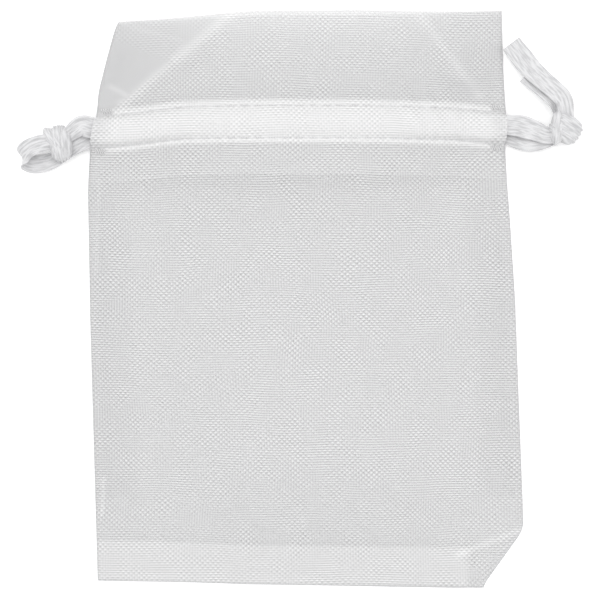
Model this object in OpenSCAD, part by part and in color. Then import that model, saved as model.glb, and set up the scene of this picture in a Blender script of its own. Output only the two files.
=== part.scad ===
// Drawstring gift pouch of sheer organza, lying flat, in millimetres.
// +X to the right, +Y towards the mouth, +Z up. Z = 0 is the underside of the back panel.

/* [Pouch] */
// Width of the pouch across its middle
body_w = 76.2; // [64:0.1:92]
// Height of the pouch from its bottom edge to its mouth
body_h = 103.2; // [86:0.1:124]
// Height of the front panel above the back panel at the middle
loft_h = 6.4; // [5.4:0.1:7.6]
// Thickness of one layer of organza
cloth_t = 0.2; // [0.1:0.05:0.25]

/* [Channel] */
// Distance from the mouth down to the upper row of channel stitching
header_h = 17.5; // [14:0.5:21]
// Distance between the two rows of channel stitching
channel_h = 5.7; // [4.7:0.1:6.9]
// Cloth of each channel strip above the upper row
strip_above = 1.2; // [0.8:0.1:1.4]
// Cloth of each channel strip below the lower row
strip_below = 6.4; // [2:0.1:8]

/* [Seams] */
// Width of the seam allowance inside the side seams
side_allowance = 6.4; // [4:0.1:8]
// Width of the seam allowance inside the bottom seam
bottom_allowance = 7.2; // [4:0.1:8.6]
// Length of one stitch
stitch_l = 1.7; // [1.4:0.1:2.2]
// Distance from one stitch to the next
stitch_pitch = 2.4; // [2.2:0.1:4]

/* [Ribbon] */
// Width of the drawstring ribbon
ribbon_w = 3.4; // [2.8:0.1:4]
// Thickness of the drawstring ribbon
ribbon_t = 0.4; // [0.3:0.05:0.45]

/* [Hidden] */

cloth_colour = [0.93, 0.93, 0.94, 0.6];
ribbon_colour = [0.97, 0.97, 0.98];
thread_colour = [0.99, 0.99, 0.99];

// Clearance between layers that lie on each other
gap = 0.05;
// Height of the tunnel that the ribbon runs in
tunnel_h = ribbon_t + 0.3;
// Thread thickness
thread_t = 0.16;

y_bottom = -body_h / 2;
y_mouth = body_h / 2;
y_upper = y_mouth - header_h;
y_lower = y_upper - channel_h;
y_channel = (y_upper + y_lower) / 2;
y_strip_top = y_upper + strip_above;
y_strip_low = y_lower - strip_below;

// How far each side edge stands in from the nominal width, by share of the height
left_inset = [[0, 1.0], [0.10, 0.7], [0.45, -0.3], [0.69, -0.8], [0.76, -0.5], [0.86, 1.0], [0.94, 2.0], [0.98, 3.2], [1, 5.2]];
right_inset = [[0, 6.6], [0.10, -0.8], [0.16, -0.5], [0.45, 1.1], [0.77, 2.9], [0.81, 2.4], [0.9, 2.8], [1, 3.1]];

function share_y(y) = (y - y_bottom) / body_h;
function left_x(y) = -body_w / 2 + lookup(share_y(y), left_inset);
function right_x(y) = body_w / 2 - lookup(share_y(y), right_inset);
function smooth(t) = let (c = min(max(t, 0), 1)) c * c * (3 - 2 * c);
function mix(a, b, t) = a + (b - a) * t;

// The channel droops a little towards both sides: how far, where it starts and how long it takes
left_droop = 1.3;
left_droop_from = 20;
left_droop_reach = 17;
right_droop = 0.7;
right_droop_from = 25;
right_droop_reach = 11;
function droop(x) =
    -left_droop * smooth((-x - left_droop_from) / left_droop_reach)
    - right_droop * smooth((x - right_droop_from) / right_droop_reach);

// Inner height of the front panel. It rises from the side and bottom edges to a flat crown.
crown_from = 0.22;
crown_to = 0.93;
rise_reach = 24;
mouth_ease = 0.12;
strip_fade = 2.4;
strip_fade_below = 3;
strip_fade_above = 0.4;
edge_room = 0.25;
edge_lift = 3 * cloth_t + edge_room;
channel_lift = 4 * cloth_t + 2 * tunnel_h + 4 * gap;
function arch(x, y) =
    let (lo = left_x(y), hi = right_x(y))
    let (u = abs(x - (lo + hi) / 2) / ((hi - lo) / 2))
    1 - smooth((u - crown_from) / (crown_to - crown_from));
function rise(y) = smooth((y - y_bottom) / rise_reach) * (1 - mouth_ease * smooth((y - y_upper) / header_h));
function in_strip(x, y) =
    let (t = y - droop(x))
    smooth((t - y_strip_low + strip_fade_below) / strip_fade)
    * (1 - smooth((t - y_strip_top - strip_fade_above) / strip_fade));
tunnel_slope = 0.6;
function in_channel(x, y) =
    let (t = y - droop(x))
    smooth((t - y_lower) / tunnel_slope) * (1 - smooth((t - y_upper + tunnel_slope) / tunnel_slope));
function front_z(x, y) =
    edge_lift + (cloth_t + 2 * gap) * in_strip(x, y)
    + (channel_lift - edge_lift - cloth_t) * in_channel(x, y) * (1 - arch(x, y))
    + (loft_h - edge_lift) * arch(x, y) * rise(y);

// A closed skin between a grid of upper points and the same grid of lower points
module skin(upper, lower) {
    rows = len(upper);
    cols = len(upper[0]);
    n = rows * cols;
    points = concat([for (r = upper) each r], [for (r = lower) each r]);
    top = [for (i = [0:rows - 2]) for (j = [0:cols - 2])
        [i * cols + j, (i + 1) * cols + j, (i + 1) * cols + j + 1, i * cols + j + 1]];
    bottom = [for (f = top) [n + f[3], n + f[2], n + f[1], n + f[0]]];
    ring = concat(
        [for (j = [0:cols - 2]) j],
        [for (i = [0:rows - 2]) i * cols + cols - 1],
        [for (j = [cols - 1:-1:1]) (rows - 1) * cols + j],
        [for (i = [rows - 1:-1:1]) i * cols]
    );
    side = [for (k = [0:len(ring) - 1])
        let (a = ring[k], b = ring[(k + 1) % len(ring)]) [a, b, n + b, n + a]];
    triangles = [for (f = concat(top, bottom, side)) each [[f[0], f[1], f[2]], [f[0], f[2], f[3]]]];
    polyhedron(points, triangles, convexity = 6);
}

// A flat tube along a route. Each of its points is [x, y, z] and each side is the width's direction.
module flat_tube(route, sides, width, thick) {
    facets = 8;
    last = len(route) - 1;
    function unit(v) = v / norm(v);
    rings = [for (i = [0:last])
        let (t = unit(route[min(i + 1, last)] - route[max(i - 1, 0)]))
        let (s = unit(sides[i] - (sides[i] * t) * t))
        let (n = cross(t, s))
        for (k = [0:facets - 1])
            let (a = 360 * (k + 0.5) / facets)
            route[i] + s * (width / 2 * cos(a) / cos(180 / facets)) + n * (thick / 2 * sin(a) / sin(180 / facets * 3))];
    body = [for (i = [0:last - 1]) for (k = [0:facets - 1])
        let (a = i * facets + k, b = i * facets + (k + 1) % facets)
        each [[a, a + facets, b], [b, a + facets, b + facets]]];
    caps = concat(
        [for (k = [1:facets - 2]) [0, k, k + 1]],
        [for (k = [1:facets - 2]) [last * facets, last * facets + k + 1, last * facets + k]]
    );
    polyhedron(rings, concat(body, caps), convexity = 6);
}

// Columns of the front panel: a turned-down edge, then the seam allowance, then an even spacing
edge_steps = [0, 0.5, 1.6, 4, 7.4];
inner_cols = 14;
function across(y) =
    let (lo = left_x(y), hi = right_x(y), e = edge_steps[len(edge_steps) - 1])
    concat(
        [for (s = edge_steps) lo + s],
        [for (k = [1:inner_cols - 1]) mix(lo + e, hi - e, k / inner_cols)],
        [for (k = [len(edge_steps) - 1:-1:0]) hi - edge_steps[k]]
    );
row_ys = concat(
    [y_bottom, y_bottom + 0.5, y_bottom + 2, y_bottom + 5, y_bottom + 8],
    [for (k = [1:11]) mix(y_bottom + 8, y_strip_low - 5, k / 11)],
    [y_strip_low - 3.4, y_strip_low - 1.8, y_strip_low, y_lower - 3, y_lower - 1.3, y_lower,
     y_lower + tunnel_slope, y_channel, y_upper - tunnel_slope, y_upper, y_strip_top, y_strip_top + 1.4, y_strip_top + 2.8],
    [for (k = [1:5]) mix(y_strip_top + 2.8, y_mouth, k / 5)]
);

// Rows near the channel follow its droop
function follow(y) = smooth((y - y_strip_low + 6) / 3) * (1 - smooth((y - y_strip_top - 3) / 4));

module front_panel() {
    last = len(edge_steps) * 2 + inner_cols - 2;
    function on_edge(i, j) = i == 0 || j == 0 || j == last;
    turned = edge_lift - cloth_t - gap;
    function inner(i, j, x, y) = front_z(x, y) - (on_edge(i, j) ? turned * (1 - in_channel(x, y)) : 0);
    lower = [for (i = [0:len(row_ys) - 1]) let (xs = across(row_ys[i]))
        [for (j = [0:last]) let (y = row_ys[i] + droop(xs[j]) * follow(row_ys[i]))
            [xs[j], y, inner(i, j, xs[j], y)]]];
    upper = [for (r = lower) [for (p = r) p + [0, 0, cloth_t]]];
    color(cloth_colour) skin(upper, lower);
}

module back_panel() {
    outline_ys = [y_bottom, for (p = left_inset) if (p[0] > 0) y_bottom + p[0] * body_h];
    right_ys = [for (k = [len(right_inset) - 1:-1:0]) y_bottom + right_inset[k][0] * body_h];
    color(cloth_colour)
        linear_extrude(cloth_t)
            polygon(concat(
                [for (y = outline_ys) [left_x(y), y]],
                [for (y = right_ys) [right_x(y), y]]
            ));
}

// Channel strip as a skin: a flat hem above and below, and a tunnel between the two rows
strip_inset = 0.8;
strip_cols = 26;
strip_profile = [
    [y_strip_low - y_channel, 0], [y_lower - y_channel - 0.8, 0], [y_lower - y_channel, 0],
    [y_lower - y_channel + tunnel_slope, 1], [0, 1], [y_upper - y_channel - tunnel_slope, 1],
    [y_upper - y_channel, 0], [y_strip_top - y_channel, 0]
];
function strip_x(y, k) = mix(left_x(y) + strip_inset, right_x(y) - strip_inset, k / strip_cols);

module back_channel_strip() {
    lower = [for (p = strip_profile) [for (k = [0:strip_cols])
        let (x = strip_x(y_channel + p[0], k))
        [x, y_channel + p[0] + droop(x), cloth_t + gap + p[1] * tunnel_h]]];
    upper = [for (r = lower) [for (p = r) p + [0, 0, cloth_t]]];
    color(cloth_colour) skin(upper, lower);
}

module front_channel_strip() {
    upper = [for (p = strip_profile) [for (k = [0:strip_cols])
        let (x = strip_x(y_channel + p[0], k), y = y_channel + p[0] + droop(x))
        [x, y, front_z(x, y) - 2 * gap - p[1] * tunnel_h]]];
    lower = [for (r = upper) [for (p = r) p - [0, 0, cloth_t]]];
    color(cloth_colour) skin(upper, lower);
}

// Ribbon inside the channel, from one end piece to the other
run_from = -28;
run_to = 28;
run_rings = 26;
function run_xs() = [for (k = [0:run_rings]) mix(run_from, run_to, k / run_rings)];
function back_run_z() = cloth_t + gap + tunnel_h / 2;
function front_run_z(x) = front_z(x, y_channel + droop(x)) - gap - tunnel_h / 2;

module back_ribbon_run() {
    route = [for (x = run_xs()) [x, y_channel + droop(x), back_run_z()]];
    color(ribbon_colour) flat_tube(route, [for (p = route) [0, 1, 0]], ribbon_w, ribbon_t);
}

module front_ribbon_run() {
    route = [for (x = run_xs()) [x, y_channel + droop(x), front_run_z(x)]];
    color(ribbon_colour) flat_tube(route, [for (p = route) [0, 1, 0]], ribbon_w, ribbon_t);
}

// Routes of the loose ribbon, from where it leaves the runs. Each row: x, y, z, then the width's direction.
left_loop_route = [
    [-28.2, 30.7, 2.8, 0, 1, 0], [-32, 30.3, 2.3, 0, 1, 0],
    [-35, 30.4, 2.1, 0, 1, 0], [-38, 30.5, 2.1, 0, 1, 0], [-40, 30.9, 2.3, 0.1, 1, 0],
    [-41.8, 29.7, 2.5, 0.3, 1, 0.2], [-43.6, 28.4, 2.8, 0.1, 1, 0.3], [-45.4, 28.0, 3.2, -0.1, 1, 0.3],
    [-47.4, 27.6, 3.3, -0.2, 1, 0.1], [-49.2, 26.9, 3.0, -0.3, 1, 0], [-50.4, 26.0, 2.2, -0.4, 1, 0.1],
    [-50.6, 25.1, 1.2, -0.4, 1, 0.2], [-49.6, 24.4, 0.6, -0.3, 1, 0.1], [-48.0, 24.2, 0.5, 0, 1, 0],
    [-46.0, 24.6, 0.5, 0.2, 1, 0], [-44.0, 25.6, 0.6, 0.3, 1, 0], [-42.4, 26.6, 1.1, 0.2, 1, 0],
    [-40.4, 28.0, 1.1, 0.1, 1, 0], [-38, 29.3, 0.7, 0, 1, 0], [-35, 29.5, 0.6, 0, 1, 0],
    [-32, 30.1, 0.6, 0, 1, 0], [-28.2, 30.7, 0.6, 0, 1, 0]
];
long_tail_route = [
    [28.2, 31.1, 2.6, 0, 1, 0], [32, 31.0, 2.2, 0, 1, 0],
    [35, 31.1, 2.1, 0, 1, 0], [38, 30.9, 2.1, 0, 1, 0], [40.4, 30.2, 2.1, 0, 1, 0],
    [43, 29.2, 2.3, 0.2, 1, 0.1], [45.2, 29.6, 2.6, 0.8, 1, 0], [46.2, 31.4, 2.7, 1, 0.1, 0],
    [46.2, 33.4, 2.7, 1, 0, 0.2], [45.9, 35.4, 2.7, 1, 0.4, 0.2], [44.6, 37.0, 2.6, 1, 0.9, 0],
    [42.4, 38.9, 2.4, 1, 0.95, 0], [40.0, 41.2, 2.2, 1, 0.8, 0], [38.2, 43.5, 2.0, 1, 0.8, 0],
    [36.6, 45.6, 1.9, 1, 0.75, 0]
];
short_tail_route = [
    [28.2, 30.9, 0.6, 0, 1, 0], [32, 30.4, 0.6, 0, 1, 0],
    [35, 29.9, 0.6, 0, 1, 0], [38, 28.8, 1.1, 0, 1, 0], [40.4, 28.2, 1.4, 0, 1, 0],
    [43, 28.6, 1.4, -0.2, 1, 0], [45.0, 29.8, 1.1, 0.5, 1, 0], [45.7, 31.6, 0.9, 1, 0.2, 0],
    [45.6, 33.6, 1.3, 1, 0.3, 0], [44.8, 35.4, 1.7, 1, 0.7, 0], [43.2, 37.0, 1.8, 1, 1, 0],
    [41.2, 38.8, 1.7, 1, 1.1, 0], [39.5, 40.3, 1.6, 1, 1.1, 0]
];
function places(route) = [for (p = route) [p[0], p[1], p[2]]];
function widths(route) = [for (p = route) [p[3], p[4], p[5]]];

module left_pull_loop() {
    color(ribbon_colour) flat_tube(places(left_loop_route), widths(left_loop_route), ribbon_w, ribbon_t);
}

module right_long_tail() {
    color(ribbon_colour) flat_tube(places(long_tail_route), widths(long_tail_route), ribbon_w, ribbon_t);
}

module right_short_tail() {
    color(ribbon_colour) flat_tube(places(short_tail_route), widths(short_tail_route), ribbon_w, ribbon_t);
}

// A knot: the ribbon wrapped round itself, as a soft rounded block that the ribbons pass through
module knot(centre, size, turn) {
    round_r = 1.2;
    translate(centre)
        rotate([0, 0, turn])
            hull()
                for (x = [-1, 1], y = [-1, 1], z = [-1, 1])
                    translate([
                        x * (size[0] / 2 - round_r),
                        y * (size[1] / 2 - round_r),
                        z * (size[2] / 2 - round_r)
                    ])
                        sphere(r = round_r, $fn = 12);
}

left_knot_at = [-43.8, 27.7, 2.1];
left_knot_size = [4.0, 5.8, 4.1];
left_knot_turn = 8;
module left_pull_knot() {
    color(ribbon_colour) knot(left_knot_at, left_knot_size, left_knot_turn);
}

right_knot_at = [46.4, 30.4, 2.1];
right_knot_size = [5.0, 6.0, 4.1];
right_knot_turn = -12;
module right_tail_knot() {
    color(ribbon_colour) knot(right_knot_at, right_knot_size, right_knot_turn);
}

// Seam allowances: two layers lying inside the side and bottom seams, clear of the channel strips
allowance_inset = 0.8;
// Below this height the side allowances are trimmed away, and so they are close to the mouth
side_seam_foot = 16.5;
side_seam_head = 6.2;
allowance_below_strip = 2.5;
allowance_above_strip = 1.2;
seam_spans = [
    [y_bottom + side_seam_foot, y_strip_low - allowance_below_strip],
    [y_strip_top + allowance_above_strip, y_mouth - side_seam_head]
];
module side_allowance_piece(side, y_from, y_to) {
    ys = [y_from, mix(y_from, y_to, 1 / 3), mix(y_from, y_to, 2 / 3), y_to];
    function edge(y) = side < 0 ? left_x(y) : right_x(y);
    outer = [for (y = ys) [edge(y) - side * allowance_inset, y]];
    inner = [for (k = [3:-1:0]) [edge(ys[k]) - side * (allowance_inset + side_allowance), ys[k]]];
    translate([0, 0, cloth_t + gap])
        linear_extrude(2 * cloth_t)
            polygon(concat(outer, inner));
}

module side_seam_allowance(side) {
    color(cloth_colour)
        for (span = seam_spans)
            side_allowance_piece(side, span[0], span[1]);
}

module left_seam_allowance() { side_seam_allowance(-1); }
module right_seam_allowance() { side_seam_allowance(1); }

// The bottom allowance stops short of the folded right corner
corner_fold = 9.5;
corner_slant = 0.4;
module bottom_seam_allowance() {
    lo = y_bottom + allowance_inset;
    hi = lo + bottom_allowance;
    color(cloth_colour)
        translate([0, 0, cloth_t + gap])
            linear_extrude(2 * cloth_t)
                polygon([
                    [left_x(lo) + allowance_inset, lo],
                    [right_x(lo) - corner_fold * corner_slant, lo],
                    [right_x(hi) - corner_fold, hi],
                    [left_x(hi) + allowance_inset, hi]
                ]);
}

// One stitch lying along a direction on a surface. Its thread is pressed wider than it is thick.
thread_spread = 1.6;
module stitch(place, along) {
    translate(place)
        rotate([0, -asin(along[2] / norm(along)), atan2(along[1], along[0])])
            cube([stitch_l, thread_t * thread_spread, thread_t], center = true);
}

// Seam thread lies on top of the allowances, this far in from their outer edge
seam_in = 1.5;
allowance_top = 3 * cloth_t + gap;
module side_stitching(side) {
    function edge(y) = (side < 0 ? left_x(y) : right_x(y)) - side * (allowance_inset + seam_in);
    color(thread_colour)
        for (span = seam_spans)
            for (y = [span[0] + stitch_l:stitch_pitch:span[1] - stitch_l])
                stitch([edge(y), y, allowance_top + thread_t / 2], [edge(y + 1) - edge(y), 1, 0]);
}

module left_seam_stitching() { side_stitching(-1); }
module right_seam_stitching() { side_stitching(1); }

module bottom_seam_stitching() {
    y = y_bottom + allowance_inset + seam_in;
    from = left_x(y) + allowance_inset + stitch_l;
    to = right_x(y) - corner_fold;
    color(thread_colour)
        for (x = [from:stitch_pitch:to])
            stitch([x, y, allowance_top + thread_t / 2], [1, 0, 0]);
}

// Channel stitching: on the strip inside the back, and on the outside of the front
stitch_margin = 4;
row_clear = 0.14;
module back_channel_row(y_row) {
    color(thread_colour)
        for (x = [left_x(y_row) + stitch_margin:stitch_pitch:right_x(y_row) - stitch_margin])
            stitch([x, y_row + droop(x), 2 * cloth_t + gap + thread_t], [1, droop(x + 1) - droop(x), 0]);
}

module front_channel_row(y_row) {
    function at(x) = [x, y_row + droop(x), front_z(x, y_row + droop(x)) + cloth_t + thread_spread * thread_t];
    color(thread_colour)
        for (x = [left_x(y_row) + stitch_margin:stitch_pitch:right_x(y_row) - stitch_margin])
            stitch(at(x), at(x + 0.4) - at(x - 0.4));
}

module back_upper_channel_stitching() { back_channel_row(y_upper + row_clear); }
module back_lower_channel_stitching() { back_channel_row(y_lower - row_clear); }
module front_upper_channel_stitching() { front_channel_row(y_upper + row_clear); }
module front_lower_channel_stitching() { front_channel_row(y_lower - row_clear); }

// Bartacks: dense thread bars that close the seam just above and below each channel opening
bartack = [1.6, 0.9, 0.3];
bartack_in = 1.7;
bartack_off_row = 0.7;
module channel_bartacks(side) {
    color(thread_colour)
        for (y_row = [y_upper + bartack_off_row, y_lower - bartack_off_row]) {
            edge = side < 0 ? left_x(y_row) + bartack_in : right_x(y_row) - bartack_in;
            y = y_row + droop(edge);
            translate([edge, y, front_z(edge, y) + cloth_t + 3 * gap + bartack[2] / 2])
                cube(bartack, center = true);
        }
}

module left_channel_bartacks() { channel_bartacks(-1); }
module right_channel_bartacks() { channel_bartacks(1); }

back_panel();
front_panel();
back_channel_strip();
front_channel_strip();
left_seam_allowance();
right_seam_allowance();
bottom_seam_allowance();
left_seam_stitching();
right_seam_stitching();
bottom_seam_stitching();
back_upper_channel_stitching();
back_lower_channel_stitching();
front_upper_channel_stitching();
front_lower_channel_stitching();
back_ribbon_run();
front_ribbon_run();
left_channel_bartacks();
right_channel_bartacks();
left_pull_loop();
left_pull_knot();
right_long_tail();
right_short_tail();
right_tail_knot();
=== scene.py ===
"""A drawstring gift pouch of sheer organza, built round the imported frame.

Lengths inside the shape functions are millimetres; mesh_from turns them into metres.
"""
import math

import bmesh
import bpy
import numpy as np
from bpy.props import FloatProperty, FloatVectorProperty, PointerProperty
from bpy.types import Operator, Panel, PropertyGroup
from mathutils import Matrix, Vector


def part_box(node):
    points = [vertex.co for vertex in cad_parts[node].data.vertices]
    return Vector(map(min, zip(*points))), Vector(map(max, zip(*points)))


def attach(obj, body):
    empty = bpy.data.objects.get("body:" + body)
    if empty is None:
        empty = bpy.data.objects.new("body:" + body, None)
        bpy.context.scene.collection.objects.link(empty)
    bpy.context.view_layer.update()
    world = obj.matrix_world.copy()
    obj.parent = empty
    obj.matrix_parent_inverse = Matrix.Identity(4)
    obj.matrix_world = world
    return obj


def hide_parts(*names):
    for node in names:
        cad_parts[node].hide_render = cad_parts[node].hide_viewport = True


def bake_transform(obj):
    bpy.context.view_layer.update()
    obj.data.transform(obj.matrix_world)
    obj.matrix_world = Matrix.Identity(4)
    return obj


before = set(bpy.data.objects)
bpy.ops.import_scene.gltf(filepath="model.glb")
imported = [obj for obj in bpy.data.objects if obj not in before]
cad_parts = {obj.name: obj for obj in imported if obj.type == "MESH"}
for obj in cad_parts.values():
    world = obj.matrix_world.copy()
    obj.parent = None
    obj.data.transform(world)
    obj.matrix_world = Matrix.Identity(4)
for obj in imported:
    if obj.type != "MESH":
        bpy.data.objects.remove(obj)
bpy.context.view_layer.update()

bl_info = {
    "name": "Organza Gift Pouch",
    "version": (1, 0, 0),
    "blender": (4, 5, 0),
    "location": "3D View > Sidebar > Pouch",
    "description": "Builds a sheer drawstring pouch with its channel, seams and satin ribbon",
    "category": "Add Mesh",
}

MM = 0.001
DM = 100.0  # millimetres in a decimetre, the unit of the cloth's (u, v)
LEFT, RIGHT = -1, 1
SIDES = ((LEFT, "left"), (RIGHT, "right"))
LAYERS = ("front", "back")


def setting(name):
    """A value from the sidebar."""
    return getattr(bpy.context.scene.organza_pouch, name)


def box_mm(node):
    """Lowest and highest corner of a node of the frame, in millimetres."""
    low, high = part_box(node)
    return np.array(low) / MM, np.array(high) / MM


# ---------------------------------------------------------------- the pouch's lines

BACK_LOW, BACK_HIGH = box_mm("back_panel")
FRONT_HIGH = box_mm("front_panel")[1][2]
CHANNEL_H = 5.7
HEADER_H = 17.5
UPPER_ROW = BACK_HIGH[1] - HEADER_H
LOWER_ROW = UPPER_ROW - CHANNEL_H
CHANNEL_MID = (UPPER_ROW + LOWER_ROW) / 2
FLAP_EDGE = 22.0
STRIP_TOP = UPPER_ROW + 1.2
CLOTH = 0.2
LAYER_GAP = 0.05
TUNNEL_H = 0.7
STRIP_Z = CLOTH + 2 * LAYER_GAP  # where the back strip lies on the back panel
EDGE_ROOM = 0.25
ALLOWANCE = 6.4
FAR_FROM_EDGE = 9.0
# The straight lines where the body, the channel and the header are cut from each other
BODY_TOP = 20.6
HEADER_FOOT = 37.6

# Side edges as points (y, x)
LEFT_EDGE = (
    (-51.6, -37.3), (-41.3, -37.6), (-5.2, -38.65), (19.6, -39.1), (26.8, -38.7),
    (34.0, -37.4), (37.1, -37.2), (42.9, -35.75), (48.6, -34.2), (50.2, -33.4), (51.6, -32.2),
)
RIGHT_EDGE = (
    (-51.6, 31.6), (-41.3, 39.0), (-35.1, 38.8), (-18.0, 38.15), (-0.2, 37.5), (15.9, 36.45),
    (20.0, 36.1), (27.0, 35.7), (32.3, 35.9), (41.3, 35.35), (51.6, 35.1),
)
BOTTOM_EDGE = ((-39.0, -50.45), (-20.0, -50.8), (-10.0, -51.15), (31.0, -51.75), (40.0, -51.75))
MOUTH_EDGE = ((-36.0, 49.5), (-33.2, 49.8), (-19.0, 50.4), (-10.0, 50.9), (17.0, 51.05), (36.0, 51.7))


def smooth(t):
    """0 below 0, 1 above 1, and 3t^2 - 2t^3 between."""
    t = np.clip(t, 0, 1)
    return t * t * (3 - 2 * t)


def rounded(points, at, reach=1.4):
    """Straight runs between points, with each corner rounded by a running mean of that reach."""
    places, values = zip(*points)
    shifts = np.linspace(-reach, reach, 9)
    return np.mean([np.interp(at + s, places, values) for s in shifts], axis=0)


def side_edge(side, y):
    return rounded(LEFT_EDGE if side == LEFT else RIGHT_EDGE, y)


def bottom_y(x):
    return rounded(BOTTOM_EDGE, x)


def mouth_y(x):
    return rounded(MOUTH_EDGE, x)


# How far the channel hangs at each side, from where, and over what reach
LEFT_DROOP, RIGHT_DROOP = (1.3, 20, 17), (0.7, 25, 11)
RISE_REACH = 24  # from the bottom seam up to the front's full height
MOUTH_EASE = 0.12


def droop(x):
    """How far the channel hangs towards each side."""
    (left, left_from, left_reach), (right, right_from, right_reach) = LEFT_DROOP, RIGHT_DROOP
    return -left * smooth((-x - left_from) / left_reach) - right * smooth((x - right_from) / right_reach)


def crown(x, y):
    """1 over the middle of the pouch, falling to 0 near the side edges."""
    low, high = side_edge(LEFT, y), side_edge(RIGHT, y)
    u = np.abs(x - (low + high) / 2) / ((high - low) / 2)
    return 1 - smooth((u - 0.22) / 0.71)


def rise(y):
    """How far the front has risen off the back, 0 to 1: from the bottom seam up, then easing at the mouth."""
    return smooth((y - BACK_LOW[1]) / RISE_REACH) * (1 - MOUTH_EASE * smooth((y - UPPER_ROW) / HEADER_H))


def band(t, low, high, soft):
    """1 where t lies between low and high, with edges soft wide."""
    return smooth((t - low) / soft) * (1 - smooth((t - high + soft) / soft))


def front_height(x, y):
    """Height of the front cloth's middle: an edge lift, room for the strips and ribbons, and the crown."""
    t = y - droop(x)
    arch = crown(x, y)
    edge_lift = 3 * CLOTH + EDGE_ROOM
    channel = 4 * CLOTH + 2 * TUNNEL_H + 4 * LAYER_GAP
    lift = edge_lift + (CLOTH + 2 * LAYER_GAP) * band(t, FLAP_EDGE - 3, STRIP_TOP + 2.8, 2.4)
    lift = lift + (channel - edge_lift - CLOTH) * band(t, LOWER_ROW - 0.5, UPPER_ROW + 0.5, 1.5) * (1 - arch)
    return lift + (FRONT_HIGH - CLOTH - 0.3 - edge_lift) * arch * rise(y) + CLOTH / 2


def bump(d, width):
    """A soft ridge: exp(-(d / width)^2)."""
    return np.exp(-((d / width) ** 2))


def off_line(x, y, a, b):
    """Distance from the segment a-b, and the share of the way along it."""
    ax, ay = a
    dx, dy = b[0] - ax, b[1] - ay
    along = np.clip(((x - ax) * dx + (y - ay) * dy) / (dx * dx + dy * dy), 0, 1)
    return np.hypot(x - ax - along * dx, y - ay - along * dy), along


# Pressed creases: from, to, half width, height, and whiteness, which is a painted highlight along the crease
CREASES = (
    ((-13.0, 50.6), (-23.5, 42.6), 1.10, 0.20, 0.34),
    ((-23.5, 42.6), (-33.0, 34.6), 0.90, 0.16, 0.28),
    ((20.0, 50.6), (31.0, 36.4), 0.90, 0.15, 0.20),
    ((38.7, -41.3), (27.2, -45.8), 0.60, 0.12, 0.26),
    ((-36.5, -38.5), (-36.2, -32.0), 0.34, 0.12, 0.30),
    ((-35.0, 37.8), (-31.4, 36.2), 0.60, 0.18, 0.30),
    ((-37.0, 21.0), (-37.6, 5.0), 0.30, 0.06, 0.15),
    ((-31.8, 48.8), (-19.1, 45.2), 0.35, 0.05, 0.14),
)


def pressed(x, y):
    """Height of the pressed creases at each point, and their whiteness, a painted highlight along each crease.
    """
    height, white = np.zeros_like(x), np.zeros_like(x)
    for a, b, width, tall, pale in CREASES:
        d, along = off_line(x, y, a, b)
        ridge = bump(d, width)
        height += tall * ridge
        # painted highlight along the crease
        white = np.maximum(white, pale * ridge)
    return height, white


PLEAT_PITCH = 3.6


def pleats(x, y):
    """Small gathers on and beside the channel, strongest to the right of the middle."""
    t = y - droop(x)
    near = bump(t - CHANNEL_MID, 5.2)
    right = bump(x - 23.0, 9.0)
    wave = np.sin(2 * np.pi * (x + 0.35 * (t - CHANNEL_MID)) / PLEAT_PITCH + 1.6 * np.sin(x / 5.3))
    return near * (0.05 + 0.20 * right) * wave


def slack(x, y):
    """Broad, shallow waves of cloth that lies loose."""
    a = 0.16 * np.sin(x / 8.3 + 1.1 * np.sin(y / 17.0)) * np.sin(y / 14.1 + 0.6)
    b = 0.08 * np.sin(x / 3.9 - y / 9.7 + 1.3 * np.sin(y / 11.0))
    return (a + b) * crown(x, y)


def channel_relief(x, y):
    """The channel's section: pinched at both rows, a puff over the ribbon and a ridge outside each row."""
    t = y - droop(x)
    pinch = -0.12 * (bump(t - UPPER_ROW, 0.30) + bump(t - LOWER_ROW, 0.30))
    ridge = 0.14 * (bump(t - UPPER_ROW - 0.75, 0.42) + bump(t - LOWER_ROW + 0.75, 0.42))
    puff = 0.30 * bump(t - CHANNEL_MID, 1.6)
    ruck = 0.07 * np.sin(2.9 * x + 1.7 * np.sin(0.31 * x)) * (0.5 + 0.5 * np.sin(0.45 * x + 1.0))
    return pinch + ridge + puff + ruck * (bump(t - UPPER_ROW, 1.2) + bump(t - LOWER_ROW, 1.0))


def drawn(x, y):
    """Wrinkles that fan out from each opening, where the ribbon draws the cloth in: sin(count x angle) at an
    angle round the opening, fading with distance."""
    total = np.zeros_like(x)
    for side, count in ((LEFT, 9.0), (RIGHT, 11.0)):
        dx = side * (side_edge(side, y) - x) + 1.5
        dy = y - droop(x) - CHANNEL_MID
        away = np.hypot(dx, dy)
        angle = np.arctan2(dy, dx)
        depth = 0.22 * smooth(away / 2.5) * np.exp(-away / 4.5)
        total += depth * np.sin(count * angle + 0.6 * np.sin(away / 1.3))
    return total


def opening(x, y):
    """1 where a side edge is left open for the ribbon."""
    return band(y - droop(x), LOWER_ROW + 0.1, UPPER_ROW - 0.1, 0.8)


FOLD_R = 0.7
FOLD_Z = 0.36


def folded(distance):
    """Quarter of a circle: 0 on the edge, 1 a fold's radius in."""
    d = np.clip(distance / FOLD_R, 0, 1)
    return np.sqrt(1 - (1 - d) ** 2)


def front_surface(x, y, edge_distance):
    """Front cloth: the crown, its relief and creases, turned down in a round fold at the seams."""
    top = front_height(x, y) + pleats(x, y) + slack(x, y) + channel_relief(x, y) + drawn(x, y)
    top = top + pressed(x, y)[0]
    turn = np.maximum(folded(edge_distance), opening(x, y))
    return FOLD_Z + (top - FOLD_Z) * turn


def back_surface(x, y, edge_distance):
    """Back cloth: flat on the table, turned up in a round fold at the seams."""
    turn = np.maximum(folded(edge_distance), opening(x, y))
    return FOLD_Z + (0.14 - FOLD_Z) * turn


# ---------------------------------------------------------------- meshes


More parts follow.
